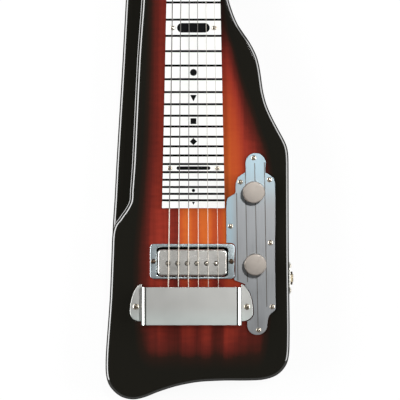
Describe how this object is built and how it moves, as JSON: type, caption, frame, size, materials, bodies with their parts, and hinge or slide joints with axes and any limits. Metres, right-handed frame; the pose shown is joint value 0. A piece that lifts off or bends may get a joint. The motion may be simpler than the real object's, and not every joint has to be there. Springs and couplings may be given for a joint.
{
  "type": "lap steel guitar",
  "caption": "Lap steel guitar with a stepped body, chromed bridge cover, control plate with two knobs, side jack and open-gear tuners.",
  "frame": {"origin": "on the flat back, below the middle of the strings at the saddle", "axes": "+X to the treble side with the jack, +Y along the strings to the headstock, +Z out of the face with the fretboard"},
  "size_m": [0.1975, 0.8173, 0.0578],
  "materials": {
    "body_lacquer": "gloss lacquer, black to orange sunburst",
    "fretboard_plastic": "white with black filled lines and marks",
    "nut_plastic": "satin",
    "string_steel": "bright wire",
    "bridge_steel": "plated",
    "cover_chrome": "polished chrome",
    "ring_metal": "satin chrome",
    "pickup_chrome": "polished chrome",
    "bobbin_plastic": "moulded",
    "coil_wire": "enamelled wire",
    "magnet_metal": "cast",
    "plate_metal": "brushed, engraved lines",
    "screw_nickel": "nickel plated",
    "screw_steel": "bright steel",
    "knob_nickel": "satin nickel",
    "pot_metal": "plated",
    "jack_chrome": "polished chrome",
    "jack_steel": "plated",
    "tuner_nickel": "nickel plated",
    "button_plastic": "cream"
  },
  "bodies": {
    "root": {"body": "body_lacquer", "fretboard": "fretboard_plastic", "nut": "nut_plastic", "string_1": "string_steel", "string_2": "string_steel", "string_3": "string_steel", "string_4": "string_steel", "string_5": "string_steel", "string_6": "string_steel", "bridge_plate": "bridge_steel", "bridge_saddle": "bridge_steel", "bridge_cover": "cover_chrome", "cover_screw_left": "screw_nickel", "cover_screw_right": "screw_nickel", "pickup_ring": "ring_metal", "ring_screw_left": "screw_steel", "ring_screw_right": "screw_steel", "pickup_cover": "pickup_chrome", "pickup_bobbin": "bobbin_plastic", "pickup_coil": "coil_wire", "pickup_magnet": "magnet_metal", "pickup_base_plate": "bridge_steel", "pickup_pole_screws": "screw_steel", "control_plate": "plate_metal", "plate_screw_1": "screw_nickel", "plate_screw_2": "screw_nickel", "plate_screw_3": "screw_nickel", "plate_screw_4": "screw_nickel", "plate_screw_5": "screw_nickel", "plate_screw_6": "screw_nickel", "plate_screw_7": "screw_nickel", "fretboard_screw_1": "screw_nickel", "fretboard_screw_2": "screw_nickel", "fretboard_screw_3": "screw_nickel", "fretboard_screw_4": "screw_nickel", "volume_pot": "pot_metal", "tone_pot": "pot_metal", "jack_plate": "jack_chrome", "jack_plate_screw_1": "jack_chrome", "jack_plate_screw_2": "jack_chrome", "jack_socket": "jack_steel", "jack_nut": "jack_chrome", "tuner_plate_left": "tuner_nickel", "tuner_plate_right": "tuner_nickel"},
    "volume_control": {"volume_knob": "knob_nickel", "volume_shaft": "screw_steel"},
    "tone_control": {"tone_knob": "knob_nickel", "tone_shaft": "screw_steel"},
    "tuner_key_1": {"tuner_button_1": "button_plastic"},
    "tuner_key_2": {"tuner_button_2": "button_plastic"},
    "tuner_key_3": {"tuner_button_3": "button_plastic"},
    "tuner_key_4": {"tuner_button_4": "button_plastic"},
    "tuner_key_5": {"tuner_button_5": "button_plastic"},
    "tuner_key_6": {"tuner_button_6": "button_plastic"},
    "tuner_spool_1": {"tuner_post_1": "tuner_nickel"},
    "tuner_spool_2": {"tuner_post_2": "tuner_nickel"},
    "tuner_spool_3": {"tuner_post_3": "tuner_nickel"},
    "tuner_spool_4": {"tuner_post_4": "tuner_nickel"},
    "tuner_spool_5": {"tuner_post_5": "tuner_nickel"},
    "tuner_spool_6": {"tuner_post_6": "tuner_nickel"}
  },
  "joints": [
    {"name": "volume_turn", "type": "hinge", "parent": "root", "child": "volume_control", "pos_m": [0.06311, 0.1217, 0.045], "axis": [0, 0, 1], "range_deg": [-150, 150]},
    {"name": "tone_turn", "type": "hinge", "parent": "root", "child": "tone_control", "pos_m": [0.06479, 0.0461, 0.045], "axis": [0, 0, 1], "range_deg": [-150, 150]},
    {"name": "key_1_turn", "type": "hinge", "parent": "root", "child": "tuner_key_1", "pos_m": [0.027, 0.6181, 0.0098], "axis": [1, 0, 0], "continuous": true},
    {"name": "key_2_turn", "type": "hinge", "parent": "root", "child": "tuner_key_2", "pos_m": [0.027, 0.6561, 0.0098], "axis": [1, 0, 0], "continuous": true},
    {"name": "key_3_turn", "type": "hinge", "parent": "root", "child": "tuner_key_3", "pos_m": [0.027, 0.6941, 0.0098], "axis": [1, 0, 0], "continuous": true},
    {"name": "key_4_turn", "type": "hinge", "parent": "root", "child": "tuner_key_4", "pos_m": [-0.032, 0.6769, 0.0098], "axis": [-1, 0, 0], "continuous": true},
    {"name": "key_5_turn", "type": "hinge", "parent": "root", "child": "tuner_key_5", "pos_m": [-0.032, 0.6389, 0.0098], "axis": [-1, 0, 0], "continuous": true},
    {"name": "key_6_turn", "type": "hinge", "parent": "root", "child": "tuner_key_6", "pos_m": [-0.032, 0.6009, 0.0098], "axis": [-1, 0, 0], "continuous": true},
    {"name": "post_1_turn", "type": "hinge", "parent": "root", "child": "tuner_spool_1", "pos_m": [0.027, 0.6095, 0.0098], "axis": [0, 0, 1], "continuous": true},
    {"name": "post_2_turn", "type": "hinge", "parent": "root", "child": "tuner_spool_2", "pos_m": [0.027, 0.6475, 0.0098], "axis": [0, 0, 1], "continuous": true},
    {"name": "post_3_turn", "type": "hinge", "parent": "root", "child": "tuner_spool_3", "pos_m": [0.027, 0.6855, 0.0098], "axis": [0, 0, 1], "continuous": true},
    {"name": "post_4_turn", "type": "hinge", "parent": "root", "child": "tuner_spool_4", "pos_m": [-0.032, 0.6855, 0.0098], "axis": [0, 0, 1], "continuous": true},
    {"name": "post_5_turn", "type": "hinge", "parent": "root", "child": "tuner_spool_5", "pos_m": [-0.032, 0.6475, 0.0098], "axis": [0, 0, 1], "continuous": true},
    {"name": "post_6_turn", "type": "hinge", "parent": "root", "child": "tuner_spool_6", "pos_m": [-0.032, 0.6095, 0.0098], "axis": [0, 0, 1], "continuous": true}
  ],
  "couplings": [
    {"joint": "post_1_turn", "follows": "key_1_turn", "ratio": 0.071429},
    {"joint": "post_2_turn", "follows": "key_2_turn", "ratio": 0.071429},
    {"joint": "post_3_turn", "follows": "key_3_turn", "ratio": 0.071429},
    {"joint": "post_4_turn", "follows": "key_4_turn", "ratio": 0.071429},
    {"joint": "post_5_turn", "follows": "key_5_turn", "ratio": 0.071429},
    {"joint": "post_6_turn", "follows": "key_6_turn", "ratio": 0.071429}
  ]
}
